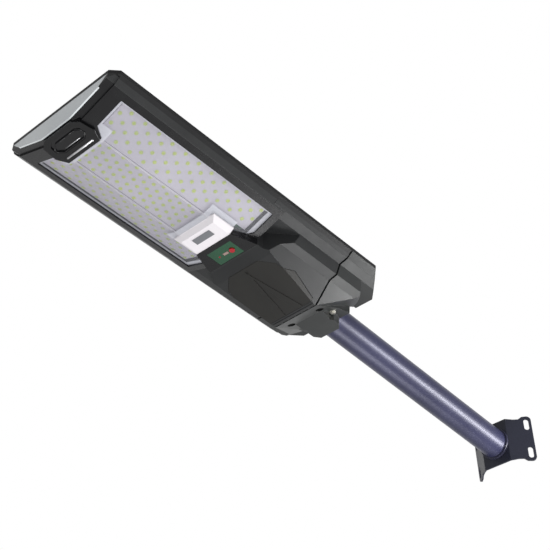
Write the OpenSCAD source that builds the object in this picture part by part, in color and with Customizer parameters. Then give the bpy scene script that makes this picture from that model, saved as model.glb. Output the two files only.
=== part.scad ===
// Solar street lamp: a flat lamp head with a solar panel on its back, clamped
// to the end of a sloping steel arm that is welded to a bent pole bracket.
// The origin is the middle of the bracket's back face. +X points at the pole,
// the lamp reaches out along -X, and the lamp is the same on both sides of Y = 0.
//
// The head is drawn in a frame of its own (see in_head): x runs from its front
// edge to its rear, y across it, and z = 0 is its top rim.

/* [Bracket] */
// Width of the flat web that the arm is welded to
web_w = 52; // [44:1:70]
// Height of the bracket at its folds
web_h = 80; // [70:1:110]
// Length of each folded flange
flange_len = 45; // [40:1:60]
// Angle of the flanges behind the web, in degrees
flange_angle = 42; // [30:1:50]
// Thickness of the bracket's steel plate
plate_t = 3; // [2:0.5:5]
// Extra height of the rounded ears over the folds
ear_rise = 3; // [0:0.5:6]
// Width of the strap slots
slot_w = 9; // [7:0.5:11]
// End to end length of the strap slots
slot_len = 21; // [16:1:26]
// Distance between the upper and the lower slots
slot_spacing = 54; // [48:1:60]
// Distance from a fold to the middle of its slots
slot_offset = 36; // [32:1:38]

/* [Arm] */
// Outer diameter of the arm tube
tube_d = 50; // [42:0.5:50]
// Wall thickness of the arm tube
tube_wall = 2; // [1.5:0.5:3]
// Length of the arm from the web to its end inside the head
arm_len = 513; // [400:1:700]
// Rise of the arm above the horizontal, in degrees
arm_tilt = 10; // [5:1:20]
// Size of the weld bead around the foot of the arm
weld = 4; // [2:0.5:6]

/* [Head] */
// Length of the head, front edge to rear
head_len = 578; // [540:1:660]
// Width of the head over its rim
head_w = 230; // [226:1:260]
// Height of the upper housing's rim
rim_h = 6; // [5.5:0.5:9]
// Depth of the bezel under the rim along the middle of the head
keel_depth = 44; // [40:1:50]
// Half width of the flat middle facet
keel_half = 30; // [24:1:36]
// Depth of the battery block at its rear edge
block_depth = 76; // [70:1:84]
// Wall thickness of the housings
wall = 2.5; // [2:0.25:3]
// Angle between the head's rim and the arm, in degrees
clamp_tilt = 2.5; // [0:0.5:4]

/* [Clamp] */
// Length of the clamp bore
clamp_len = 72; // [60:1:80]
// Radial clearance of the arm in the clamp
clamp_gap = 0.05; // [0.02:0.01:0.1]
// Distance between the clamp bolts across the arm
bolt_span = 59; // [58:0.5:64]
// Distance between the clamp bolts along the arm
bolt_pitch = 30; // [24:1:36]
// Thread diameter of the clamp bolts
bolt_d = 6; // [5:1:6]

/* [Solar panel] */
// Number of solar cells in the row
cell_count = 6; // [4:1:6]
// Length of one cell along the head
cell_len = 70; // [60:1:74]
// Width of the cells across the head
cell_w = 210; // [180:1:212]
// White gap between two cells
cell_gap = 4; // [2:0.5:6]
// White border in front of the first cell and behind the last
panel_margin = 14; // [8:1:18]
// Thickness of the panel's clear face
glass_t = 2; // [1.5:0.25:2.5]

/* [Light] */
// Where the lens starts, behind the head's front edge
lens_front = 37; // [34:1:44]
// Length of the lens window
lens_len = 296; // [260:1:300]
// Width of the lens window
lens_w = 181; // [150:1:184]
// Thickness of the lens and of the circuit boards' tray
lens_t = 2; // [1.5:0.25:3]

/* [Battery] */
// Number of battery cells side by side
battery_count = 3; // [1:1:3]
// Diameter of a battery cell
battery_d = 32; // [26:1:33]
// Length of a battery cell
battery_len = 70; // [60:1:72]

/* [Controls] */
// Diameter of the push button
button_d = 9; // [7:0.5:10]
// Travel of the push button
button_travel = 1.2; // [0.8:0.1:1.5]

/* [Hidden] */
$fn = 64;

half_w = head_w / 2;
front_cut = 12;
rear_cut_x = 41;
rear_cut_y = 42;
rear_w = head_w - 2 * rear_cut_y;

// Cross sections of the underside, from the rim inwards
side_step = 5;
band_y = half_w - 13.5;
band_z = 17.5;
lens_half = lens_w / 2;
bezel_edge = lens_half;
facet_slope = (keel_depth - band_z) / (band_y - keel_half);
sill_y = half_w - 10;
sill_z = 15.5;
shelf_y = half_w - 25;
shelf_z = 19.5;
wall_y = half_w - 31;
wall_z = 36.5;
ledge_y = half_w - 45.5;
ledge_z = 40.5;
block_y = half_w - 73;

// Places along the head
lens_rear = lens_front + lens_len;
tab_front = lens_rear - 31;
tab_rear = tab_front + 43;
tab_half = 40;
tab_z = keel_depth + 5;
step_x = tab_rear;
block_front = step_x + 21;
block_front_z = 56;
groove_x = head_len - 98;
groove_w = 3;
bay_x = block_front + 20;
tail_x = groove_x + 53;
tail_mid_z = block_depth - 27;
tail_z = block_depth - 38;
side_tail_z = block_depth - 54;
jaw_half = tube_d / 2 + 1.6;
jaw_z = 60.5;
plate_half = half_w - 73;
band_end = lens_rear + 12;

// Bumper and front plate
bumper_len = 14;
bumper_drop = 2.5;
plate_face_t = 2.5;
plate_y = 85.5;

// Clamp
tube_r = tube_d / 2;
bore_r = tube_r + clamp_gap;
clamp_end_x = head_len - 18;
clamp_axis_z = -31;
clamp_start_x = clamp_end_x - clamp_len;
grip_out = 0.5;
jaw_wall = 5;
saddle_half = bolt_span / 2 + 9;
nut_z = 46;
bolt_x1 = clamp_end_x - 56;
head_h = bolt_d * 0.65;
head_d = bolt_d * 1.7;
washer_t = 1.2;
nut_h = bolt_d * 0.8;
nut_d = bolt_d * 1.85;
bolt_gap = 0.3;
recess_z = 6;
saddle_top = 1.5;

// Panel
panel_len = cell_count * cell_len + (cell_count - 1) * cell_gap + 2 * panel_margin;
panel_x = front_cut + 1;
panel_w = head_w - 5;
panel_top = 0.3;
cell_t = 0.25;
ribbon_t = 0.1;
sheet_t = 0.8;
panel_fit = 0.3;
stack = panel_top + glass_t + ribbon_t + cell_t + sheet_t;
deck_bottom = rim_h;
ribbon_count = 10;

// Screws through the upper housing: [x, y, z] under each head
light_screws = [[8.3, -4, 0], [8.3, -0.37 * head_w, 0], [groove_x + 12, -0.372 * head_w, 0]];
black_screws = [[8.3, 0.37 * head_w, 0], [groove_x + 23, 0.262 * head_w, -3]];
ribbon_w = 0.9;

// Light
tray_gap = 7;
board_t = 1.6;
tray_top = tray_gap + board_t + 1.25;
lens_flange = 5;
tray_front = lens_front + 20;
tray_rear = tab_front - 46;
side_front = lens_front + 6;
side_rear = lens_rear - 11;
side_inner = 43;
hump_front = tab_front - 34;
hump_half = 34;

// Controls
window_w = 49;
window_len = 30;
window_t = 1.5;
window_x = tab_front + 10;
button_x = window_x + window_len / 2 + 1;
button_y = -13;
button_gap = 0.25;
button_out = 1.6;
button_face = tab_z + button_out;
button_stem = 3.2;
control_z = tab_z - window_t - button_stem - 1.5;
board_z = control_z - 3.2;

// Sensor
sensor_rear = lens_front + 17;
sensor_z = keel_depth + 2.5;

// Battery
battery_pitch = battery_d + 1.5;
battery_z = -(rim_h + 4 + battery_d / 2);
battery_row = (battery_count - 1) * battery_pitch;
cradle_half = battery_row / 2 + battery_d / 2 - 1;
strap_half = battery_row / 2 + battery_d / 2 + 1.1;
lead_t = 1.4;
board_top = rim_h + 12.4;

// Turns children about Y and carries them to the end of the arm
head_reach = arm_len - clamp_len + grip_out;
head_pitch = arm_tilt - clamp_tilt;

black = "#1c1c1f";
soft_black = "#26282a";
grey_black = "#2f3133";
steel_blue = "#42425a";
silver = "#dcdad0";

module in_head() {
    translate([-head_reach * cos(arm_tilt), 0, head_reach * sin(arm_tilt)])
        rotate([0, head_pitch, 0])
            translate([-clamp_end_x, 0, -clamp_axis_z])
                children();
}

// Children drawn along +X from the start of the clamp bore, in the head
module on_bore() {
    translate([clamp_end_x, 0, clamp_axis_z]) rotate([0, clamp_tilt, 0]) children();
}

// Upper half space outline of the head, seen from above
function outline(g = 0) = [
    [g, half_w - front_cut], [front_cut, half_w - g], [head_len - rear_cut_x, half_w - g],
    [head_len - g, rear_w / 2], [head_len - g, -rear_w / 2], [head_len - rear_cut_x, -half_w + g],
    [front_cut, -half_w + g], [g, -half_w + front_cut],
];

// Mirrors a list of [y, z] points so that it closes across the head
function mirrored(p) = concat(p, [for (i = [len(p) - 1:-1:0]) [-p[i][0], p[i][1]]]);

// Section of the bezel part, raised by g for a wall of that thickness
function bezel_section(g = 0, top = 0) = mirrored([
    [half_w - g, -top], [half_w - g, -rim_h + min(g, 0.01)], [half_w - side_step - g, -10.5 + g],
    [band_y + 1 - g, -band_z + facet_slope + g], [keel_half, -keel_depth + g],
]);

// Section of the rear part with its two ledges
function rear_section(g = 0, top = 0) = mirrored([
    [half_w - g, -top], [half_w - g, -rim_h + min(g, 0.01)], [sill_y - g, -sill_z + g],
    [shelf_y - g, -shelf_z + g], [wall_y - g, -wall_z + g], [ledge_y - g, -ledge_z + g],
    [block_y - g, -block_depth + g],
]);

module along(x0, x1) {
    translate([x0, 0, 0]) rotate([90, 0, 90]) linear_extrude(x1 - x0) children();
}

module across(half) {
    translate([0, half, 0]) rotate([90, 0, 0]) linear_extrude(2 * half) children();
}

module below(z0, z1) {
    translate([0, 0, -z1]) linear_extrude(z1 - z0) children();
}

module head_outline(g = 0) {
    polygon(outline(g));
}

// Side view of the battery block and the tail behind it
module block_profile(g = 0) {
    polygon([
        [step_x - 60, 0], [step_x - 60, -tab_z + g], [step_x - g, -tab_z + g],
        [block_front - g, -block_front_z + g], [groove_x, -block_depth + g],
        [head_len - 8, -side_tail_z + g], [head_len, -side_tail_z + g], [head_len, 0],
    ]);
}

// Side view of the sloping plate under the clamp
module tail_profile(g = 0) {
    polygon([
        [groove_x - 8, 0], [groove_x - 8, -block_depth + g], [groove_x, -block_depth + g],
        [tail_x, -tail_mid_z + g], [head_len, -tail_z + g], [head_len, 0],
    ]);
}

// Where the deep part of the housing reaches, seen from above
module deep_outline(g = 0) {
    polygon(mirrored_x([
        [tab_front + g, tab_half - 4 - g], [tab_rear - 17 + g, tab_half + 5 - g],
        [step_x + 8 + g, tab_half + 12 - g], [step_x + 48 + g, wall_y + 6 - g],
        [head_len - 46, wall_y + 6 - g], [head_len - 17 - g, block_y + 15 - g],
        [head_len - 6 - g, block_y - 4 - g],
    ]));
}

function mirrored_x(p) = concat(p, [for (i = [len(p) - 1:-1:0]) [p[i][0], -p[i][1]]]);

// The solid that the lower housing, battery cover and rear shell are cut from
module bezel_solid(g = 0) {
    intersection() {
        along(g, band_end) polygon(bezel_section(g));
        below(-1, block_depth) head_outline(g);
    }
}

module rear_solid(g = 0) {
    intersection() {
        along(tab_front + g, head_len - g) polygon(rear_section(g));
        below(-1, block_depth + 1) head_outline(g);
        across(half_w) block_profile(g);
        union() {
            translate([band_end - 24 + g, -head_w, -shelf_z - 0.5 + g]) cube([head_len, 2 * head_w, 90]);
            below(-1, block_depth + 1) deep_outline(g);
        }
    }
    intersection() {
        across(plate_half - g) tail_profile(g);
        below(-1, block_depth + 1) translate([groove_x - 5, -half_w]) square([clamp_end_x - groove_x + 5 - g, head_w]);
    }
}

module lower_solid(g = 0) {
    bezel_solid(g);
    rear_solid(g);
}

// Lens window, seen from above, grown by e
module lens_outline(e = 0) {
    polygon(mirrored_x([
        [sensor_rear - e, 34 + 0.2 * e], [lens_front - e, 44 - 0.2 * e], [lens_front - e, lens_half + e],
        [lens_rear + e, lens_half + e], [lens_rear + e, tab_half + 12], [lens_rear - 7 + e, tab_half + 4],
        [tab_front - 0.2 + e * 0.1, tab_half - 4],
    ]));
}

module battery_opening(e = 0) {
    polygon(mirrored_x([
        [block_front - 1 - e, 30 + 0.4 * e], [block_front + 18 - 0.4 * e, 50 + e],
        [block_front + 52, 57 + e], [groove_x - 9 + e, 46 + e],
    ]));
}

// Everything of the underside behind the groove
module rear_space(extra = 0) {
    translate([groove_x - extra, -half_w - 1, -block_depth - 5]) cube([head_len, head_w + 2, block_depth + 10]);
}

module bolt_places() {
    for (x = [bolt_x1, bolt_x1 + bolt_pitch], y = [-1, 1] * bolt_span / 2)
        translate([x, y, 0]) children();
}

module screw(x, y, z, length, d = 4) {
    translate([x, y, z]) {
        difference() {
            cylinder(d = 2 * d, h = 0.6 * d);
            translate([0, 0, 0.3 * d]) cylinder(d = 0.9 * d, h = d, $fn = 6);
        }
        translate([0, 0, -length]) cylinder(d = d, h = length + 0.1);
    }
}

/* Bracket and arm */

module flange_outline() {
    h = web_h / 2;
    ear = h + ear_rise;
    r = 8;
    difference() {
        union() {
            polygon([
                [0, h], [flange_len * 0.3, h - 2], [flange_len * 0.5, h - 2], [flange_len - 2 * r, ear - 0.6],
                [flange_len - r, ear], [flange_len - r, -ear], [flange_len - 2 * r, -ear + 0.6],
                [flange_len * 0.5, -h + 2], [flange_len * 0.3, -h + 2], [0, -h],
            ]);
            translate([flange_len - r - 0.1, -ear + r]) square([r + 0.1, 2 * (ear - r)]);
            for (s = [-1, 1]) translate([flange_len - r, s * (ear - r)]) circle(r);
        }
        for (s = [-1, 1]) translate([slot_offset, s * slot_spacing / 2]) {
            square([slot_w, slot_len - slot_w], center = true);
            for (e = [-1, 1]) translate([0, e * (slot_len - slot_w) / 2]) circle(d = slot_w);
        }
    }
}

module wall_bracket() {
    color("#1e202d") {
        translate([-plate_t, -web_w / 2, -web_h / 2]) cube([plate_t, web_w, web_h]);
        for (s = [0, 1]) mirror([0, s, 0]) translate([0, web_w / 2, 0]) {
            rotate([0, 0, -flange_angle]) translate([-plate_t, 0, 0]) rotate([90, 0, 90])
                linear_extrude(plate_t) flange_outline();
            intersection() {
                cylinder(r = plate_t, h = web_h, center = true);
                linear_extrude(web_h, center = true) polygon([
                    [0, 0], [-3 * plate_t, -0.25 * plate_t], [-3 * plate_t, 1.2 * plate_t],
                    [-2 * plate_t * cos(flange_angle + 8), 2 * plate_t * sin(flange_angle + 8)],
                ]);
            }
        }
    }
}

module arm_axis() {
    rotate([0, arm_tilt - 90, 0]) children();
}

module in_front_of_web(far) {
    translate([-plate_t - far, -head_w, -arm_len]) cube([far, 2 * head_w, 2 * arm_len]);
}

module arm_tube() {
    color(steel_blue) intersection() {
        difference() {
            arm_axis() translate([0, 0, -40]) cylinder(r = tube_r, h = arm_len + 40);
            arm_axis() translate([0, 0, -50]) cylinder(r = tube_r - tube_wall, h = arm_len + 60);
        }
        in_front_of_web(arm_len + 50);
    }
}

module arm_weld() {
    color("#33334a") difference() {
        intersection() {
            arm_axis() translate([0, 0, -20]) cylinder(r = tube_r + weld * 0.8, h = 60);
            in_front_of_web(weld);
        }
        arm_axis() translate([0, 0, -40]) cylinder(r = tube_r, h = 120);
    }
}

/* Housings */

module upper_housing() {
    color(black) in_head() difference() {
        union() {
            difference() {
                below(0, deck_bottom) head_outline();
                translate([panel_x - panel_fit, -panel_w / 2 - panel_fit, -stack])
                    cube([panel_len + 2 * panel_fit, panel_w + 2 * panel_fit, stack + 1]);
                below(-1, 3) polygon(mirrored_x([
                    [panel_x + panel_len + 4, 60], [panel_x + panel_len + 20, 72],
                    [head_len - 46, 72], [head_len - 22, 50],
                ]));
            }
            // ribs inside the rim that locate the lower housing
            for (s = [-1, 1]) translate([front_cut + 20, s * (half_w - 11) - 1, -deck_bottom - 3])
                cube([groove_x - 60, 2, 3.5]);
            // posts that hold the tray of the light
            for (x = [tray_front + 33 : 70 : tray_rear - 20], s = [-1, 1])
                translate([x, s * 12, facet_z(keel_half, tray_top) + 0.05]) cylinder(d = 7, h = keel_depth - tray_top - deck_bottom);
        }
        // window for the clamp saddle, and the notch over the arm
        below(-1, 60) translate([clamp_start_x - 4, -saddle_half - 0.3])
            square([clamp_len + 5, 2 * saddle_half + 0.6]);
        translate([clamp_end_x - 1, 0, clamp_axis_z]) rotate([0, 90 + clamp_tilt, 0])
            cylinder(r = tube_r + 1.5, h = 60);
        screw_places(light_screws) translate([0, 0, -20]) cylinder(d = 4.1, h = 30);
        screw_places(black_screws) translate([0, 0, -20]) cylinder(d = 4.1, h = 30);
    }
}

module screw_places(places) {
    for (p = places) translate(p) children();
}

// Bosses that the housing screws bite into
module screw_bosses() {
    intersection() {
        for (places = [light_screws, black_screws]) for (p = places)
            translate([p[0], p[1], -block_depth]) cylinder(d = 9, h = block_depth - rim_h);
        lower_solid(0.6);
    }
}

module screw_bores() {
    for (places = [light_screws, black_screws]) for (p = places)
        translate([p[0], p[1], -20]) cylinder(d = 4.02, h = 30);
}

module lower_housing() {
    color(soft_black) in_head() difference() {
        union() {
            difference() {
                lower_solid();
                difference() {
                    lower_solid(wall);
                    translate([-1, -half_w, -60]) cube([bumper_len + wall + 1, head_w, 60]);
                }
                bezel_solid(wall + bumper_drop);
                below(-10, rim_h) square([3 * head_len, 2 * head_w], center = true);
            }
            screw_bosses();
            // ring that stiffens the battery opening
            intersection() {
                below(tab_z - 14, tab_z + 5) difference() {
                    battery_opening(5);
                    battery_opening(0.4);
                }
                lower_solid(wall - 0.3);
            }
            // feet of the control board
            for (x = [window_x - 1, window_x + window_len - 3], y = [-1, 1] * (window_w / 2 + 1.5))
                translate([x, y, -tab_z + 1]) cylinder(d = 4, h = tab_z - 1 - board_z);
        }
        below(0, 90) lens_outline();
        below(ledge_z - 2, 90) battery_opening(0.4);
        rear_space();
        // bumper step along the front edge
        along(-1, bumper_len) difference() {
            translate([-head_w, -90]) square([2 * head_w, 90 - rim_h]);
            polygon(mirrored([
                [half_w + 2, 0], [half_w + 2, -rim_h - 3], [half_w - side_step, -10.5 + bumper_drop],
                [band_y + 1, -band_z + facet_slope + bumper_drop], [keel_half, -keel_depth + bumper_drop],
            ]));
        }
        front_plate_solid(0.1);
        // window and button openings in the tab
        translate([window_x - 0.2, -window_w / 2 - 0.2, -tab_z - 1]) cube([window_len + 0.4, window_w + 0.4, 1 + window_t]);
        translate([window_x + 2, -window_w / 2 + 2, -tab_z - 1]) cube([window_len - 4, window_w - 4, 12]);
        below(0, 90) sensor_pocket(2.5);
        screw_bores();
    }
}

module battery_cover() {
    color("#232321") in_head() difference() {
        union() {
            difference() {
                intersection() {
                    lower_solid();
                    below(ledge_z + 1, 90) battery_opening();
                }
                intersection() {
                    lower_solid(wall);
                    below(0, 90) battery_opening(-wall);
                }
            }
            // long ribs across the cover's face
            intersection() {
                below(50, 90) for (s = [-1, 1]) polygon([
                    [block_front + 4, -s * 2], [groove_x - 10, s * 10], [groove_x - 10, s * 26],
                ]);
                translate([0, 0, -1]) lower_solid(0.05);
                below(50, 90) battery_opening(-1);
            }
        }
        rear_space();
    }
}

// Lower half of the grip on the arm
module jaw_block() {
    intersection() {
        union() {
            on_bore() rotate([0, -90, 0]) cylinder(r = bore_r + jaw_wall, h = clamp_len);
            translate([clamp_start_x, -saddle_half, -nut_z]) cube([clamp_len, 2 * saddle_half, nut_z]);
            translate([clamp_start_x, -jaw_half, -jaw_z]) cube([clamp_len + 2, 2 * jaw_half, jaw_z]);
        }
        on_bore() translate([-clamp_len - 1, -60, -60]) cube([clamp_len + 4, 120, 59.7]);
        union() {
            rear_solid(0.2);
            below(-1, jaw_z) polygon(mirrored_x([
                [bolt_x1 - 8, jaw_half], [clamp_end_x - 8, jaw_half], [clamp_end_x + 2, jaw_half - 8],
            ]));
        }
    }
}

module rear_clamp_shell() {
    color(grey_black) in_head() difference() {
        union() {
            difference() {
                rear_solid();
                rear_solid(wall);
                below(-10, rim_h) square([3 * head_len, 2 * head_w], center = true);
            }
            screw_bosses();
            jaw_block();
            // columns around the clamp bolts
            intersection() {
                bolt_places() translate([0, 0, -block_depth]) cylinder(d = 16.5, h = block_depth + clamp_axis_z);
                rear_solid(0.2);
            }
        }
        translate([-10, -half_w - 1, -90]) cube([groove_x + groove_w + 10, head_w + 2, 100]);
        // mouth for the arm, and the seat of the upper saddle
        on_bore() rotate([0, -90, 0]) translate([0, 0, -60]) cylinder(r = bore_r, h = clamp_len + 60);
        on_bore() translate([-clamp_len - 1, -saddle_half - 0.4, -0.3]) cube([clamp_len + 40, 2 * saddle_half + 0.8, 60]);
        bolt_places() translate([0, 0, -90]) cylinder(r = bolt_d / 2 + bolt_gap, h = 100);
        // nut pockets, open from below
        bolt_places() translate([0, 0, -90]) cylinder(d = nut_d + 1.6, h = 90 - nut_z);
        screw_bores();
    }
}

module clamp_saddle() {
    color("#202022") in_head() difference() {
        intersection() {
            translate([clamp_start_x, -saddle_half, clamp_axis_z - 10]) cube([clamp_len, 2 * saddle_half, -clamp_axis_z + 10 - saddle_top]);
            on_bore() translate([-clamp_len, -60, 0.3]) cube([clamp_len, 120, 60]);
        }
        on_bore() rotate([0, -90, 0]) translate([0, 0, -20]) cylinder(r = bore_r, h = clamp_len + 60);
        bolt_places() translate([0, 0, -60]) cylinder(r = bolt_d / 2 + bolt_gap, h = 90);
        bolt_places() translate([0, 0, -recess_z]) cylinder(d = 15, h = 20);
    }
}

module clamp_bolts() {
    color(silver) in_head() bolt_places() translate([0, 0, -recess_z + washer_t]) {
        difference() {
            cylinder(d = head_d, h = head_h);
            translate([0, 0, head_h / 2]) cylinder(d = bolt_d * 0.9, h = bolt_d, $fn = 6);
        }
        translate([0, 0, -nut_z - nut_h + recess_z - washer_t - 1.5])
            cylinder(d = bolt_d, h = nut_z + nut_h - recess_z + washer_t + 1.6);
    }
}

module clamp_washers() {
    color(silver) in_head() bolt_places() translate([0, 0, -recess_z]) difference() {
        cylinder(d = 2 * bolt_d + 1, h = washer_t);
        translate([0, 0, -1]) cylinder(d = bolt_d + 0.4, h = washer_t + 2);
    }
}

module clamp_nuts() {
    color(silver) in_head() bolt_places() translate([0, 0, -nut_z - nut_h]) difference() {
        cylinder(d = nut_d, h = nut_h, $fn = 6);
        translate([0, 0, -1]) cylinder(d = bolt_d + 0.02, h = nut_h + 2);
    }
}

module front_plate_solid(e = 0) {
    translate([-1, 0, 0]) along(0, 1 + plate_face_t + e) polygon(mirrored([
        [half_w - front_cut - 1 + 3 * e, -rim_h + 2 * e],
        [plate_y + e, -keel_depth + bumper_drop + (plate_y - keel_half) * facet_slope - e],
        [keel_half, -keel_depth + bumper_drop - 0.2 - e],
    ]));
}

module front_plate() {
    color("#bfc3c6") in_head() intersection() {
        front_plate_solid();
        along(0.2, 30) square([head_w, 200], center = true);
        below(rim_h + 0.1, 90) head_outline(0.2);
    }
}

/* Solar panel */

module panel_slab(top, t, g = 0) {
    translate([panel_x + g, -panel_w / 2 + g, -top - t]) cube([panel_len - 2 * g, panel_w - 2 * g, t]);
}

module panel_glass() {
    color("#c9d4e0", 0.3) in_head() panel_slab(panel_top, glass_t);
}

module solar_cells() {
    color("#1c2234") in_head() for (i = [0:cell_count - 1])
        translate([panel_x + panel_margin + i * (cell_len + cell_gap), -cell_w / 2, -panel_top - glass_t - ribbon_t - cell_t])
            cube([cell_len, cell_w, cell_t]);
}

function ribbon_y(i) = (i - (ribbon_count - 1) / 2) * cell_w / ribbon_count;

module cell_ribbons() {
    color(silver) in_head() for (i = [0:ribbon_count - 1])
        translate([panel_x + panel_margin - 3, ribbon_y(i) - ribbon_w / 2, -panel_top - glass_t - ribbon_t])
            cube([panel_len - 2 * panel_margin + 6, ribbon_w, ribbon_t]);
}

module panel_backsheet() {
    color("#dcd7d7") in_head() panel_slab(stack - sheet_t, sheet_t);
}

module junction_box() {
    color(black) in_head() difference() {
        translate([tray_rear + 62, -76, -deck_bottom - 10]) cube([44, 28, 10]);
        translate([tray_rear + 64, -74, -deck_bottom - 8.5]) cube([40, 24, 10]);
    }
}

module housing_screws() {
    color(silver) in_head() screw_places(light_screws) screw(0, 0, 0, 16);
}

module dark_screws() {
    color("#303034") in_head() screw_places(black_screws) screw(0, 0, 0, 16);
}

/* Light */

// A sheet that follows the three facets of the light, between two depths above their face
module facet_sheet(d0, d1) {
    polygon(concat(
        [[-half_w, facet_z(half_w, d0)], [-keel_half, -keel_depth + d0], [keel_half, -keel_depth + d0], [half_w, facet_z(half_w, d0)]],
        [[half_w, facet_z(half_w, d1)], [keel_half, -keel_depth + d1], [-keel_half, -keel_depth + d1], [-half_w, facet_z(half_w, d1)]]
    ));
}

function facet_z(y, d) = -band_z + d - facet_slope * (band_y - y);

// Raised white bridge in front of the control tab
module hump(g = 0) {
    intersection() {
        across(hump_half + 12) polygon([
            [hump_front - 7 + g, -keel_depth + 8], [hump_front - 7 + g, -keel_depth + wall + g], [hump_front + g, -tab_z + 0.5 + g],
            [tab_front - 0.4 - g, -tab_z + 0.5 + g], [tab_front - 0.4 - g, -keel_depth + 8],
        ]);
        along(0, head_len) polygon(mirrored([
            [hump_half + 8 - g, -keel_depth + 8], [hump_half + 8 - g, -keel_depth + wall + g], [hump_half - g, -tab_z + 0.5 + g],
        ]));
    }
}

module lens_cover() {
    color("#cfd2dc", 0.5) in_head() difference() {
        union() {
            intersection() {
                along(lens_front - lens_flange, lens_rear + lens_flange) facet_sheet(wall + 0.05, wall + lens_t);
                below(0, 90) lens_outline(lens_flange - 0.5);
                lower_solid(wall + 0.05);
            }
            difference() {
                hump();
                below(0, keel_depth - wall - lens_t) square([3 * head_len, 2 * head_w], center = true);
            }
        }
        hump(lens_t);
        sensor_space(0.3);
    }
}

module lens_gasket() {
    color("#303030") in_head() difference() {
        intersection() {
            along(lens_front - lens_flange, lens_rear + lens_flange) facet_sheet(wall + lens_t + 0.05, wall + lens_t + 1.5);
            below(0, 90) lens_outline(lens_flange - 1);
            lower_solid(wall + 0.4);
        }
        below(0, 90) lens_outline(-1.5);
        sensor_space(0.4);
    }
}

// plan of the light: short between sensor and controls, long at both sides
module light_plan(e = 0) {
    translate([tray_front + e, -lens_half]) square([tray_rear - tray_front - 2 * e, lens_w]);
    for (y = [-lens_half, side_inner + e])
        translate([side_front + e, y]) square([side_rear - side_front - 2 * e, lens_half - side_inner - e]);
}

module led_tray() {
    color("#c3c1cc") in_head() difference() {
        intersection() {
            along(side_front, side_rear) facet_sheet(tray_gap + board_t + 0.05, tray_top);
            below(0, 90) light_plan();
            translate([0, -lens_half + 3, -90]) cube([head_len, lens_w - 6, 90]);
        }
        sensor_space(6);
    }
}

module led_board(y0, y1) {
    difference() {
        intersection() {
            along(side_front, side_rear) facet_sheet(tray_gap, tray_gap + board_t);
            below(0, 90) light_plan(1);
            translate([0, y0, -90]) cube([head_len, y1 - y0, 90]);
        }
        sensor_space(6);
    }
}

module led_board_near() {
    color("#bdb8c8") in_head() led_board(-lens_half + 5, -keel_half - 1);
}

module led_board_middle() {
    color("#bdb8c8") in_head() led_board(-keel_half + 1, keel_half - 1);
}

module led_board_far() {
    color("#bdb8c8") in_head() led_board(keel_half + 1, lens_half - 5);
}

/* Sensor */

module sensor_plan(e = 0) {
    polygon(mirrored_x([
        [bumper_len - 10 - e, 27 + e], [bumper_len - 2 - e, 39 + e], [lens_front - 1, 42 + e], [sensor_rear - 1 + e, 33 + e],
    ]));
}

module sensor_space(e = 0) {
    below(16, 90) sensor_plan(e);
}

module sensor_pocket(e = 0) {
    polygon(mirrored_x([
        [bumper_len - 3 - e, 20 + e], [bumper_len + 4 - e, 30 + e], [lens_front - 8, 31 + e], [sensor_rear - 17 + e, 21 + e],
    ]));
}

module sensor_housing() {
    color(black) in_head() {
        difference() {
            union() {
                below(keel_depth + 0.05, sensor_z) sensor_plan();
                intersection() {
                    below(keel_depth - bumper_drop + 0.05, sensor_z) sensor_plan();
                    translate([0, -half_w, -90]) cube([bumper_len - 0.1, head_w, 90]);
                }
            }
            below(keel_depth - 5, 90) sensor_pocket();
        }
        difference() {
            below(keel_depth - wall - 3, keel_depth + 0.05) sensor_pocket(2.4);
            below(keel_depth - 20, 90) sensor_pocket();
        }
    }
}

module sensor_window() {
    color("#151518") in_head() below(keel_depth - 2, keel_depth + 0.4) sensor_pocket(-0.1);
}

module sensor_board() {
    color("#1d5a3a") in_head() below(keel_depth - wall - 3 - board_t, keel_depth - wall - 3) sensor_pocket(1.2);
}

/* Controls */

module control_window() {
    color("#145a37") in_head() difference() {
        translate([window_x, -window_w / 2, -tab_z + 0.2]) cube([window_len, window_w, window_t - 0.2]);
        translate([button_x, button_y, -tab_z - 5]) cylinder(d = button_d + 2 * button_gap, h = 12);
        translate([button_x, 0, -tab_z - 0.2]) translate([-2.5, -5, 0]) cube([5, 10, 1.4]);
        translate([button_x, 13, -tab_z - 5]) cylinder(d = 3, h = 12);
    }
}

module control_board() {
    color("#1b6b3c") in_head() translate([window_x - 4, -window_w / 2 - 4, -board_z]) cube([window_len + 6, window_w + 8, board_t]);
}

module switch_body() {
    color("#8f9296") in_head() translate([button_x - 3, button_y - 3, -control_z]) cube([6, 6, 3.2]);
}

module power_button() {
    color("#b01226") in_head() translate([button_x, button_y, 0]) {
        translate([0, 0, -button_face]) cylinder(d = button_d, h = button_face - tab_z + window_t + 0.2);
        translate([0, 0, -tab_z + window_t + 0.1]) cylinder(d = button_d + 3, h = 1);
        translate([0, 0, -button_face + 1]) cylinder(d = 4, h = button_face - 1 - control_z - button_travel - 0.2);
    }
}

module status_lamp() {
    color("#7a1c1c") in_head() {
        translate([button_x, 13, -tab_z + 0.1]) cylinder(d = 2.8, h = tab_z - control_z + 3.1);
    }
}

module remote_receiver() {
    color("#8a6f6c") in_head() translate([button_x - 2.3, -4.8, -tab_z + 0.1]) cube([4.6, 9.6, 1]);
}

module label_plate() {
    color("#6d6f72") in_head() translate([hump_front + 7, -18, -tab_z - 0.1]) cube([12, 36, 0.6]);
}

/* Battery and electronics */

module battery_places() {
    for (i = [0:battery_count - 1]) translate([0, i * battery_pitch - battery_row / 2, battery_z]) children();
}

module battery_cells() {
    color("#2f6fb0") in_head() battery_places() {
        translate([bay_x, 0, 0]) rotate([0, 90, 0]) cylinder(d = battery_d, h = battery_len);
        translate([bay_x + battery_len, 0, 0]) rotate([0, 90, 0]) cylinder(d = battery_d / 3, h = 1.2);
    }
}

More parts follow.
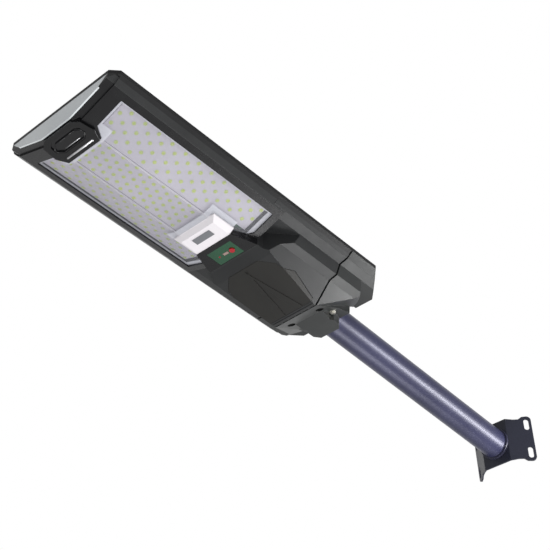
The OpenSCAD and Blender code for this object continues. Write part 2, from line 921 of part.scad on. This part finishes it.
// Hangs under the deck and takes the upper half of each cell
module battery_cradle() {
    color("#3a3a3a") in_head() difference() {
        translate([bay_x - 2.5, -cradle_half, battery_z]) cube([battery_len + 6.5, 2 * cradle_half, -battery_z - deck_bottom]);
        translate([bay_x - 0.3, 0, 0]) battery_places() rotate([0, 90, 0]) cylinder(d = battery_d + 0.6, h = battery_len + 1.8);
    }
}

module battery_straps() {
    low = battery_z - battery_d / 2 - 0.7;
    color("#b9bcc0") in_head() for (x = [bay_x + 14, bay_x + battery_len - 34]) translate([x, 0, 0]) {
        translate([0, -strap_half, low]) cube([8, 2 * strap_half, 0.6]);
        for (s = [-1, 1]) translate([0, s * (strap_half - 0.4) - 0.4, low]) cube([8, 0.8, -low - deck_bottom]);
    }
}

module controller_board() {
    color("#17603a") in_head() translate([tray_rear + 8, -40, -board_top - board_t]) cube([62, 80, board_t]);
}

module controller_parts() {
    color("#404348") in_head() translate([tray_rear, 0, -board_top - board_t]) {
        for (y = [-26, 0, 26]) translate([20, y, -10]) cylinder(d = 10, h = 10);
        translate([40, -30, -6]) cube([12, 20, 6]);
        translate([36, 8, -8]) cube([20, 14, 8]);
    }
}

// A flat lead through [run, height] points, in the plane of its children's strip
module strip(points) {
    polygon(concat(
        [for (p = points) [p[0], p[1] + lead_t / 2]],
        [for (i = [len(points) - 1:-1:0]) [points[i][0], points[i][1] - lead_t / 2]]
    ));
}

module panel_lead() {
    z = -board_top + lead_t / 2;
    color("#a02020") in_head() along(tray_rear + 64, tray_rear + 68)
        strip([[-48, -deck_bottom - 5], [-44, -deck_bottom - 5], [-38, z], [-32, z]]);
}

module battery_lead() {
    z = -board_top + lead_t / 2;
    color("#202020") in_head() translate([0, 10, 0]) across(2.5)
        strip([[tray_rear + 58, z], [tray_rear + 74, z], [tray_rear + 90, -deck_bottom - 8], [bay_x - 2.5, -deck_bottom - 8]]);
}

module light_lead() {
    z = -board_top + lead_t / 2;
    tray_face = -keel_depth + tray_top + lead_t / 2;
    color("#d8d8d8") in_head() translate([0, 24, 0]) across(2.5)
        strip([[tray_rear - 24, tray_face], [tray_rear - 16, tray_face], [tray_rear - 2, z], [tray_rear + 14, z]]);
}

module sensor_lead() {
    z = -board_top + lead_t / 2;
    far = -keel_depth + wall + 3 + board_t + lead_t / 2;
    color("#303030") in_head() translate([0, -22, 0]) across(2)
        strip([[28, far], [36, far], [52, -deck_bottom - 8], [tray_rear - 10, -deck_bottom - 8], [tray_rear, z], [tray_rear + 14, z]]);
}

/* Seals and small parts */

module housing_gasket() {
    edge = half_w - 5.4;
    color("#151515") in_head() below(rim_h, rim_h + 0.8) difference() {
        translate([bumper_len + 4, -edge]) square([groove_x - bumper_len - 4.1, 2 * edge]);
        translate([bumper_len + 5.6, -edge + 1.6]) square([head_len, 2 * edge - 3.2]);
    }
}

module cover_gasket() {
    color("#151515") in_head() intersection() {
        below(ledge_z - 1.5, ledge_z + 1) difference() {
            battery_opening(0.4);
            battery_opening(-2);
        }
        lower_solid(wall + 0.2);
        translate([0, -200, -200]) cube([groove_x - 6, 400, 400]);
    }
}

wall_bracket();
arm_tube();
arm_weld();
upper_housing();
lower_housing();
battery_cover();
rear_clamp_shell();
clamp_saddle();
clamp_bolts();
clamp_washers();
clamp_nuts();
front_plate();
panel_glass();
solar_cells();
cell_ribbons();
panel_backsheet();
junction_box();
housing_screws();
dark_screws();
lens_cover();
lens_gasket();
led_tray();
led_board_near();
led_board_middle();
led_board_far();
sensor_housing();
sensor_window();
sensor_board();
control_window();
control_board();
switch_body();
power_button();
status_lamp();
remote_receiver();
label_plate();
battery_cells();
battery_cradle();
battery_straps();
controller_board();
controller_parts();
panel_lead();
battery_lead();
light_lead();
sensor_lead();
housing_gasket();
cover_gasket();
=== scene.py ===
import math

import bpy
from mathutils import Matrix, Quaternion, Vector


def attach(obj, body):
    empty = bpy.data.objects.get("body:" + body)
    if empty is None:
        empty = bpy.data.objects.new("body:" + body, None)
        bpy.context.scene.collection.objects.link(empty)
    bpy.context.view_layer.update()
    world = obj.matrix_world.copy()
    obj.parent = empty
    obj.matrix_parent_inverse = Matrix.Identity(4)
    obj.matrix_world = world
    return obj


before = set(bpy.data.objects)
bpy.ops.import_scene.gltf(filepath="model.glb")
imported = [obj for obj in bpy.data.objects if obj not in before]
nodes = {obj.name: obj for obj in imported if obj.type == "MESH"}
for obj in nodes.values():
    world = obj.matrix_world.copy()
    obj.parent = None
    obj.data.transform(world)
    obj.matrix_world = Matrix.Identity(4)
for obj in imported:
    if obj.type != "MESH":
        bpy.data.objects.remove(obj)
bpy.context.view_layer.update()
scene = bpy.context.scene

# The lamp head's own frame: x runs from its front edge to its rear, z = 0 is its rim (mm)
headPlace = {"corner": Vector((-0.434793, 0, 0.076666)), "pitch": math.radians(7.5), "x": 560, "z": -31}
headAlong = Vector((math.cos(headPlace["pitch"]), 0, -math.sin(headPlace["pitch"])))
headUp = Vector((math.sin(headPlace["pitch"]), 0, math.cos(headPlace["pitch"])))


def inHead(x, y, z):
    along = (x - headPlace["x"]) / 1000
    up = (z - headPlace["z"]) / 1000
    return headPlace["corner"] + headAlong * along + headUp * up + Vector((0, y / 1000, 0))


# A number in a material, which can be written into ordinary sums
class Value:
    def __init__(self, shade, socket):
        self.shade = shade
        self.socket = socket

    def math(self, kind, *others):
        node = self.shade.node("ShaderNodeMath", operation=kind)
        for place, item in enumerate((self,) + others):
            self.shade.put(node.inputs[place], item)
        return Value(self.shade, node.outputs[0])

    def __add__(self, other): return self.math("ADD", other)
    def __radd__(self, other): return self.math("ADD", other)
    def __sub__(self, other): return self.math("SUBTRACT", other)
    def __rsub__(self, other): return self.math("MULTIPLY", -1).math("ADD", other)
    def __mul__(self, other): return self.math("MULTIPLY", other)
    def __rmul__(self, other): return self.math("MULTIPLY", other)
    def __truediv__(self, other): return self.math("DIVIDE", other)
    def __gt__(self, other): return self.math("GREATER_THAN", other)
    def __lt__(self, other): return self.math("LESS_THAN", other)
    def __abs__(self): return self.math("ABSOLUTE")

    def ramp(self, low, high, start=0.0, end=1.0):
        node = self.shade.node("ShaderNodeMapRange", clamp=True, interpolation_type="SMOOTHSTEP")
        wanted = {"Value": self, "From Min": low, "From Max": high, "To Min": start, "To Max": end}
        for name, item in wanted.items():
            self.shade.put(node.inputs[name], item)
        return Value(self.shade, node.outputs[0])


class Shade:
    def __init__(self, name, **fixed):
        self.material = bpy.data.materials.new(name)
        self.material.use_nodes = True
        self.tree = self.material.node_tree
        self.tree.nodes.clear()
        self.surface = self.node("ShaderNodeBsdfPrincipled")
        out = self.node("ShaderNodeOutputMaterial")
        self.tree.links.new(self.surface.outputs[0], out.inputs[0])
        for key, item in fixed.items():
            self.put(self.surface.inputs[key.replace("_", " ")], item)
        self.spot = self.node("ShaderNodeTexCoord").outputs["Object"]

    def node(self, kind, **settings):
        made = self.tree.nodes.new(kind)
        for key, item in settings.items():
            setattr(made, key, item)
        return made

    def put(self, socket, item):
        if isinstance(item, Value):
            self.tree.links.new(item.socket, socket)
        elif isinstance(item, bpy.types.NodeSocket):
            self.tree.links.new(item, socket)
        elif isinstance(item, tuple) and len(item) == 3 and socket.type == "RGBA":
            socket.default_value = (*item, 1)
        else:
            socket.default_value = item

    def noise(self, scale, detail=3, stretch=None):
        spot = self.spot
        if stretch:
            turn = self.node("ShaderNodeMapping")
            turn.inputs["Scale"].default_value = stretch
            self.tree.links.new(spot, turn.inputs["Vector"])
            spot = turn.outputs[0]
        made = self.node("ShaderNodeTexNoise")
        made.inputs["Scale"].default_value = scale
        made.inputs["Detail"].default_value = detail
        self.tree.links.new(spot, made.inputs["Vector"])
        return Value(self, made.outputs["Fac"])

    def along(self, direction, start=0.0):
        made = self.node("ShaderNodeVectorMath", operation="DOT_PRODUCT")
        self.tree.links.new(self.spot, made.inputs[0])
        made.inputs[1].default_value = tuple(1000 * direction)
        return Value(self, made.outputs["Value"]) + start

    def place(self):
        corner = headPlace["corner"] * 1000
        x = self.along(headAlong, headPlace["x"] - corner.dot(headAlong))
        z = self.along(headUp, headPlace["z"] - corner.dot(headUp))
        return x, self.along(Vector((0, 1, 0))), z

    def mix(self, amount, first, second):
        made = self.node("ShaderNodeMix", data_type="RGBA")
        self.put(made.inputs["Factor"], amount)
        self.put(made.inputs[6], first)
        self.put(made.inputs[7], second)
        return made.outputs[2]

    def colour(self, item):
        self.put(self.surface.inputs["Base Color"], item)

    def rough(self, item):
        self.put(self.surface.inputs["Roughness"], item)

    def bump(self, height, depth, strength=1.0, edge=0.0):
        made = self.node("ShaderNodeBump")
        made.inputs["Strength"].default_value = strength
        made.inputs["Distance"].default_value = depth
        self.put(made.inputs["Height"], height)
        if edge:
            soft = self.node("ShaderNodeBevel", samples=4)
            soft.inputs["Radius"].default_value = edge
            self.tree.links.new(soft.outputs[0], made.inputs["Normal"])
        self.tree.links.new(made.outputs[0], self.surface.inputs["Normal"])


def srgb(*levels):
    return tuple(((v / 255 + 0.055) / 1.055) ** 2.4 if v > 10 else v / 255 / 12.92 for v in levels)


def wear(names, shade):
    for name in names:
        data = nodes[name].data
        data.materials.clear()
        data.materials.append(shade.material)


# Moulded and painted surfaces: two tones mixed by a soft noise, a fine grain in relief
def plastic(name, dark, light, rough=0.5, grain=1400, depth=0.00004, edge=0.0005, **fixed):
    shade = Shade(name, **fixed)
    cloud = shade.noise(9, 4)
    fine = shade.noise(grain, 2)
    shade.colour(shade.mix(cloud.ramp(0.3, 0.7), dark, light))
    shade.rough(rough + (shade.noise(60, 3) - 0.5) * 0.12)
    shade.bump(fine, depth, 0.6, edge)
    return shade


print("materials")
wear(["upper_housing", "junction_box"],
     plastic("black deck", srgb(14, 14, 16), srgb(21, 21, 23), 0.5, Specular_IOR_Level=0.35))
wear(["clamp_saddle"], plastic("saddle", srgb(16, 16, 18), srgb(22, 22, 24), 0.55, Specular_IOR_Level=0.35))
wear(["battery_cover"],
     plastic("battery cover", srgb(22, 21, 19), srgb(30, 29, 26), 0.42, Specular_IOR_Level=0.4))
wear(["rear_clamp_shell"], plastic("tail shell", srgb(30, 32, 32), srgb(38, 40, 40), 0.38))

# The lower housing is glossier and darker on the bezel round the light; its outer lip takes the same dark
# colour as painted shade on the sideways-facing rim
lower = {"bezelEdge": 101.3, "bezelEnd": 344, "satin": srgb(29, 30, 31), "satinLight": srgb(38, 39, 40),
         "bezelAndShade": srgb(12, 12, 14), "wall": srgb(18, 18, 20)}
shade = Shade("lower housing", Specular_IOR_Level=0.4)
x, y, z = shade.place()
onBezel = (abs(y) < lower["bezelEdge"]) * (x < lower["bezelEnd"])
# painted shade: the outer lip is coloured as dark as the bezel but keeps the satin roughness
shadedLip = abs(y) > 109.7
cloud = shade.noise(8, 4).ramp(0.3, 0.7)
satin = shade.mix(cloud, lower["satin"], lower["satinLight"])
shade.colour(shade.mix(onBezel.math("MAXIMUM", shadedLip), satin, shade.mix(cloud, lower["bezelAndShade"], lower["wall"])))
shade.rough(0.42 - onBezel * 0.16 + (shade.noise(60, 3) - 0.5) * 0.1)
shade.bump(shade.noise(1400, 2), 0.00004, 0.5, 0.0005)
wear(["lower_housing"], shade)

# The front plate is coloured light grey
wear(["front_plate"], plastic("front plate light grey", srgb(204, 209, 212), srgb(214, 218, 220), 0.45))
# Arm paint: slate blue with a fine metal fleck
shade = Shade("arm paint", Metallic=0.15, Specular_IOR_Level=0.5)
fleck = shade.noise(520, 2).ramp(0.56, 0.72)
paint = shade.mix(shade.noise(8, 4).ramp(0.3, 0.7), srgb(36, 37, 62), srgb(46, 47, 75))
shade.colour(shade.mix(fleck * 0.3, paint, srgb(104, 104, 128)))
shade.rough(0.36 + shade.noise(60, 2) * 0.04)
shade.bump(shade.noise(60, 2), 0.00001, 0.1)
wear(["arm_tube"], shade)
wear(["arm_weld"], plastic("weld", srgb(34, 34, 50), srgb(44, 44, 62), 0.4, 90, 0.0012, 0))
wear(["wall_bracket"], plastic("bracket paint", srgb(20, 22, 34), srgb(28, 30, 44), 0.42, 500, 0.0001, 0.0006))

# Bright fixings with fine turning marks
shade = Shade("bright steel", Metallic=1.0)
marks = shade.noise(900, 2, (1, 1, 12))
shade.colour(shade.mix(marks.ramp(0.3, 0.7), srgb(196, 194, 186), srgb(226, 224, 214)))
shade.rough(0.22 + marks * 0.15)
shade.bump(marks, 0.00002, 0.5, 0.0003)
wear(["clamp_bolts", "clamp_washers", "clamp_nuts", "housing_screws", "battery_straps", "cell_ribbons"], shade)
wear(["dark_screws"], plastic("black steel", srgb(40, 40, 44), srgb(56, 56, 60), 0.35, 700, 0.00003))

# Solar panel
shade = Shade("silicon", Coat_Weight=0.3)
crystal = shade.node("ShaderNodeTexVoronoi", feature="F1")
crystal.inputs["Scale"].default_value = 260
shade.tree.links.new(shade.spot, crystal.inputs["Vector"])
grain = Value(shade, crystal.outputs["Distance"]).ramp(0.1, 0.7)
x, y, z = shade.place()
finger = ((x / 2.0).math("FRACT") < 0.12) * 0.12
wafer = shade.mix(shade.noise(14, 3).ramp(0.3, 0.7), srgb(15, 20, 36), srgb(20, 30, 54))
wafer = shade.mix(grain * 0.2, wafer, srgb(32, 46, 76))
shade.colour(shade.mix(finger, wafer, srgb(120, 126, 138)))
shade.rough(0.3 + grain * 0.1)
wear(["solar_cells"], shade)
wear(["panel_backsheet"],
     plastic("white sheet", srgb(216, 211, 211), srgb(226, 222, 221), 0.5, 900, 0.00002, 0))
shade = Shade("panel face", IOR=1.45)
shade.colour(shade.mix(shade.noise(30, 2), srgb(225, 230, 238), srgb(236, 239, 245)))
shade.put(shade.surface.inputs["Alpha"], 0.02 + shade.noise(200, 2) * 0.02)
shade.rough(0.16 + shade.noise(40, 2) * 0.06)
wear(["panel_glass"], shade)

# Light: clear facets over pale boards, and the white bridge in front of the controls
lens = {"tint": srgb(205, 207, 214), "bridge": srgb(222, 218, 222), "seam": srgb(214, 212, 218), "half": 30,
        "bridgeX": 260.5, "bridgeHalf": 42.2, "bridgeZ": -38.9, "seamHalf": 0.7, "seamEnd": 262,
        "hump": (251, 302), "sensorEnd": 60, "frostHalf": 49, "rimY": 87, "rimX": (41, 326)}
shade = Shade("lens", IOR=1.45)
x, y, z = shade.place()
bridge = (x > lens["bridgeX"]) * (abs(y) < lens["bridgeHalf"]) * (z < lens["bridgeZ"])
seam = (abs(abs(y) - lens["half"]) < lens["seamHalf"]) * (x < lens["seamEnd"])
besideHump = (x > lens["hump"][0]) * (x < lens["hump"][1]) * (abs(y) < lens["frostHalf"])
besideSensor = (x < lens["sensorEnd"]) * (abs(y) < lens["frostHalf"])
rim = (abs(y) > lens["rimY"]).math("MAXIMUM", besideHump).math("MAXIMUM", besideSensor)
rim = rim.math("MAXIMUM", x < lens["rimX"][0]).math("MAXIMUM", x > lens["rimX"][1])
tone = shade.mix(shade.noise(12, 3), lens["tint"], srgb(214, 214, 224))
tone = shade.mix(bridge, tone, lens["bridge"])
shade.colour(shade.mix(seam, tone, lens["seam"]))
cover = (0.07 + shade.noise(40, 2) * 0.05 + rim * 0.5).math("MAXIMUM", bridge).math("MAXIMUM", seam * 0.4)
shade.put(shade.surface.inputs["Alpha"], cover)
shade.rough(0.14 + bridge * 0.3)
wear(["lens_cover"], shade)
wear(["led_tray"], plastic("tray", srgb(190, 188, 198), srgb(200, 198, 208), 0.5))
wear(["led_board_near", "led_board_middle", "led_board_far"],
     plastic("light boards", srgb(160, 156, 167), srgb(172, 168, 178), 0.45, 1200, 0.00002, 0))
wear(["lens_gasket", "housing_gasket", "cover_gasket"],
     plastic("seal", srgb(20, 20, 20), srgb(30, 30, 30), 0.7))

# Sensor and controls
wear(["sensor_housing"], plastic("sensor collar", srgb(9, 9, 11), srgb(15, 15, 17), 0.24, edge=0.0009))
wear(["sensor_window"], plastic("sensor window", srgb(16, 16, 18), srgb(24, 24, 26), 0.16, 300, 0.00004, 0))
wear(["sensor_board", "control_board", "controller_board"],
     plastic("circuit board", srgb(18, 84, 52), srgb(26, 104, 62), 0.4))
wear(["control_window"],
     plastic("control window", srgb(6, 58, 34), srgb(12, 74, 44), 0.18, 300, 0.00002, 0.0003, Coat_Weight=0.5))
wear(["power_button", "status_lamp"],
     plastic("red button", srgb(150, 10, 24), srgb(166, 16, 30), 0.3, 900, 0.00002))
wear(["remote_receiver", "switch_body"], plastic("pale part", srgb(132, 110, 104), srgb(150, 126, 120), 0.4))
wear(["label_plate"], plastic("label", srgb(106, 108, 112), srgb(122, 124, 128), 0.5))
wear(["battery_cells"], plastic("cell wrap", srgb(40, 96, 160), srgb(50, 110, 178), 0.3))
wear(["battery_cradle", "controller_parts"], plastic("dark parts", srgb(46, 48, 52), srgb(60, 62, 66), 0.5))
wear(["panel_lead"], plastic("red lead", srgb(150, 28, 28), srgb(168, 36, 34), 0.45))
wear(["battery_lead", "sensor_lead"], plastic("black lead", srgb(26, 26, 26), srgb(36, 36, 36), 0.45))
wear(["light_lead"], plastic("white lead", srgb(206, 206, 206), srgb(218, 218, 218), 0.45))


def newPiece(name, corners, faces, shade, body, smooth=False):
    mesh = bpy.data.meshes.new(name)
    mesh.from_pydata([tuple(c) for c in corners], [], faces)
    mesh.update()
    mesh.polygons.foreach_set("use_smooth", [smooth] * len(mesh.polygons))
    piece = bpy.data.objects.new(name, mesh)
    scene.collection.objects.link(piece)
    mesh.materials.append(shade.material)
    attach(piece, body)
    return piece


# Rows of light chips under small clear domes
print("light chips")
chips = {"face": 6.85, "slope": 0.37063, "edge": 101.5, "edgeZ": -17.5, "keelZ": -44,
         "step": 12.7, "first": 50.5, "last": 318, "sideStep": 17.5, "middleStep": 14.2,
         "short": (62, 252), "inner": 47, "size": 3.2, "dome": 4.0, "height": 1.9}


def chipSpots():
    spots = []
    column = 0
    x = chips["first"]
    while x <= chips["last"]:
        shift = 0.25 if column % 2 else -0.25
        inShort = chips["short"][0] <= x <= chips["short"][1]
        for row in range(4):
            if inShort:
                spots.append((x, (row - 1.5 + shift) * chips["middleStep"], 0))
        for side in (-1, 1):
            for row in range(3):
                across = 59.5 + (row - 1 + shift) * chips["sideStep"]
                if inShort or across > chips["inner"]:
                    spots.append((x, side * across, side))
        x += chips["step"]
        column += 1
    return spots


def chipFrame(x, y, side):
    if side == 0:
        return inHead(x, y, chips["keelZ"] + chips["face"]), Vector((0, 1, 0)), -headUp
    depth = chips["edgeZ"] + chips["face"] - chips["slope"] * (chips["edge"] - abs(y))
    across = Vector((0, side, 0)) + headUp * chips["slope"]
    across.normalize()
    out = headAlong.cross(across).normalized()
    if out.dot(headUp) > 0:
        out = -out
    return inHead(x, y, depth), across, out


def chipMeshes():
    chipCorners, chipFaces, domeCorners, domeFaces = [], [], [], []
    ring = 10
    for spot in chipSpots():
        middle, across, out = chipFrame(*spot)
        start = len(chipCorners)
        for turn in range(8):
            angle = turn * math.tau / 8
            reach = (headAlong * math.cos(angle) + across * math.sin(angle)) * chips["size"] / 1000
            chipCorners.append(middle + reach + out * 0.00012)
        chipFaces.append([start + turn for turn in range(8)])
        start = len(domeCorners)
        for level in range(4):
            lift = level * math.pi / 8
            for turn in range(ring):
                angle = turn * math.tau / ring
                width = chips["dome"] * math.cos(lift) / 1000
                reach = (headAlong * math.cos(angle) + across * math.sin(angle)) * width
                domeCorners.append(middle + reach + out * chips["height"] * math.sin(lift) / 1000)
        domeCorners.append(middle + out * chips["height"] / 1000)
        for level in range(3):
            for turn in range(ring):
                a = start + level * ring + turn
                b = start + level * ring + (turn + 1) % ring
                domeFaces.append([a, b, b + ring, a + ring])
        for turn in range(ring):
            domeFaces.append([start + 3 * ring + turn, start + 3 * ring + (turn + 1) % ring, start + 4 * ring])
    return chipCorners, chipFaces, domeCorners, domeFaces


phosphor = plastic("phosphor", srgb(138, 158, 0), srgb(160, 176, 0), 0.4, 900, 0.00002, 0)
clearDome = Shade("clear dome", Alpha=0.1, IOR=1.5)
clearDome.colour(clearDome.mix(clearDome.noise(50, 2), srgb(226, 226, 230), srgb(238, 238, 242)))
clearDome.rough(0.12 + clearDome.noise(90, 2) * 0.05)
made = chipMeshes()
newPiece("light_chips", made[0], made[1], phosphor, "head")
newPiece("chip_domes", made[2], made[3], clearDome, "head", True)


def block(low, high):
    corners = [inHead(x, y, z) for x in (low[0], high[0]) for y in (low[1], high[1]) for z in (low[2], high[2])]
    return corners, [(0, 1, 3, 2), (4, 6, 7, 5), (0, 4, 5, 1), (2, 3, 7, 6), (0, 2, 6, 4), (1, 5, 7, 3)]


# Bridges that break the long parting slot under the head into dashes
slotBars = {"places": [-28, -14, 0, 14, 28], "half": 1.4, "x": (479.9, 483.1), "z": (-75.2, -72)}
corners, faces = [], []
for middle in slotBars["places"]:
    more, shape = block((slotBars["x"][0], middle - slotBars["half"], slotBars["z"][0]),
                        (slotBars["x"][1], middle + slotBars["half"], slotBars["z"][1]))
    faces += [[len(corners) + i for i in face] for face in shape]
    corners += more
bridgeShade = plastic("slot bridge", srgb(30, 32, 32), srgb(38, 40, 40), 0.4)
newPiece("slot_bridges", corners, faces, bridgeShade, "head")

# A thin round bead along a line of points
def bead(name, points, radius, shade, body):
    corners, faces, ring = [], [], 10
    for place, point in enumerate(points):
        ahead = (points[min(place + 1, len(points) - 1)] - points[max(place - 1, 0)]).normalized()
        side = ahead.cross(headUp).normalized()
        for turn in range(ring):
            angle = turn * math.tau / ring
            corners.append(point + (side * math.cos(angle) + headUp * math.sin(angle)) * radius)
    for place in range(len(points) - 1):
        for turn in range(ring):
            a, b = place * ring + turn, place * ring + (turn + 1) % ring
            faces.append([a, b, b + ring, a + ring])
    faces.append(list(range(ring))[::-1])
    faces.append([len(corners) - ring + turn for turn in range(ring)])
    return newPiece(name, corners, faces, shade, body, True)


# Painted highlight: a bright bead along the sensor box's rear edge and a short bright line in its window stand
# in for glints on the dark plastic; a glossy dark bead runs round the window
sensor = {"faceZ": -46.5, "windowZ": -44.4, "ridgeX": 45.5, "ridgeHalf": 27, "ridge": 1.5,
          "lineX": 32.5, "lineHalf": 15, "line": 0.6, "bead": 0.8,
          "outline": [(17.5, 19.5), (23.5, 28.5), (28.5, 29.5), (35.5, 20.5)]}
# painted highlight: near-white metal colour standing in for the glints on the sensor box's edges
paintedHighlight = Shade("painted highlight ridge", Metallic=0.8)
paintedHighlight.colour(paintedHighlight.mix(paintedHighlight.noise(60, 2), srgb(226, 226, 230), srgb(240, 240, 243)))
paintedHighlight.rough(0.3 + paintedHighlight.noise(90, 2) * 0.08)
glossy = plastic("sensor bead", srgb(12, 12, 14), srgb(18, 18, 20), 0.2, edge=0)


def acrossHead(x, half, z):
    return [inHead(x, -half, z), inHead(x, 0, z), inHead(x, half, z)]


bead("sensor_highlight_ridge", acrossHead(sensor["ridgeX"], sensor["ridgeHalf"], sensor["faceZ"]),
     sensor["ridge"] / 1000, paintedHighlight, "head")
bead("sensor_highlight_line", acrossHead(sensor["lineX"], sensor["lineHalf"], sensor["windowZ"]), sensor["line"] / 1000,
     paintedHighlight, "head")
outline = [(x, -y) for x, y in sensor["outline"]] + [(x, y) for x, y in reversed(sensor["outline"])]
corners = [inHead(x, y, sensor["faceZ"] + 0.2) for x, y in outline + outline[:1]]
bead("sensor_bead", corners, sensor["bead"] / 1000, glossy, "head")

# Camera
print("camera and light")
cameraPlace = {"spot": (-1.7847, -1.0959, -1.034), "turn": (0.41903, 0.81761, -0.34006, -0.20069), "view": 24}
camera = bpy.data.objects.new("camera", bpy.data.cameras.new("camera"))
scene.collection.objects.link(camera)
camera.location = cameraPlace["spot"]
camera.rotation_mode = "QUATERNION"
camera.rotation_quaternion = Quaternion(cameraPlace["turn"])
camera.data.sensor_width = 36
camera.data.lens = 18 / math.tan(math.radians(cameraPlace["view"] / 2))
camera.data.clip_start = 0.05
camera.data.clip_end = 60
scene.camera = camera
scene.view_settings.view_transform = "Standard"

# Pale floor far below the lamp
floorMesh = bpy.data.meshes.new("floor")
floorMesh.from_pydata([(-9, -9, -2.6), (9, -9, -2.6), (9, 9, -2.6), (-9, 9, -2.6)], [], [(0, 1, 2, 3)])
floor = bpy.data.objects.new("floor", floorMesh)
scene.collection.objects.link(floor)
floorShade = plastic("floor", srgb(236, 236, 236), srgb(242, 242, 242), 0.7, 400, 0.00005, 0)
floorMesh.materials.append(floorShade.material)

# Bright backdrop behind the lamp, dimmer all round
backdrop = {"towards": (0.66, 0.52, 0.54), "from": 0.55, "to": 0.9, "round": 0.46, "bright": 1.0}
world = bpy.data.worlds.new("studio")
world.use_nodes = True
scene.world = world
tree = world.node_tree
tree.nodes.clear()
glow = tree.nodes.new("ShaderNodeBackground")
end = tree.nodes.new("ShaderNodeOutputWorld")
spot = tree.nodes.new("ShaderNodeTexCoord")
facing = tree.nodes.new("ShaderNodeVectorMath")
facing.operation = "DOT_PRODUCT"
facing.inputs[1].default_value = backdrop["towards"]
fade = tree.nodes.new("ShaderNodeMapRange")
fade.interpolation_type = "SMOOTHSTEP"
for name, key in (("From Min", "from"), ("From Max", "to"), ("To Min", "round"), ("To Max", "bright")):
    fade.inputs[name].default_value = backdrop[key]
tree.links.new(spot.outputs["Generated"], facing.inputs[0])
tree.links.new(facing.outputs["Value"], fade.inputs["Value"])
tree.links.new(fade.outputs[0], glow.inputs["Strength"])
glow.inputs["Color"].default_value = (1, 1, 1, 1)
tree.links.new(glow.outputs[0], end.inputs[0])


def softbox(name, place, target, width, height, power, tint=(1, 1, 1)):
    lamp = bpy.data.lights.new(name, "AREA")
    lamp.shape = "RECTANGLE"
    lamp.size = width
    lamp.size_y = height
    lamp.energy = power
    lamp.color = tint
    made = bpy.data.objects.new(name, lamp)
    made.location = place
    made.visible_camera = False
    made.rotation_mode = "QUATERNION"
    made.rotation_quaternion = (Vector(place) - Vector(target)).to_track_quat("Z", "Y")
    scene.collection.objects.link(made)
    return made


softbox("under light", (-1.7, -1.3, -1.9), (-0.75, 0, 0.1), 0.9, 0.9, 34)
softbox("ledge light", (0.12, 0.16, -1.25), (-0.55, -0.08, 0.05), 0.6, 0.4, 7)
softbox("arm light", (0.21, -0.5, -0.2), (-0.1, 0, 0.03), 0.56, 0.14, 8)
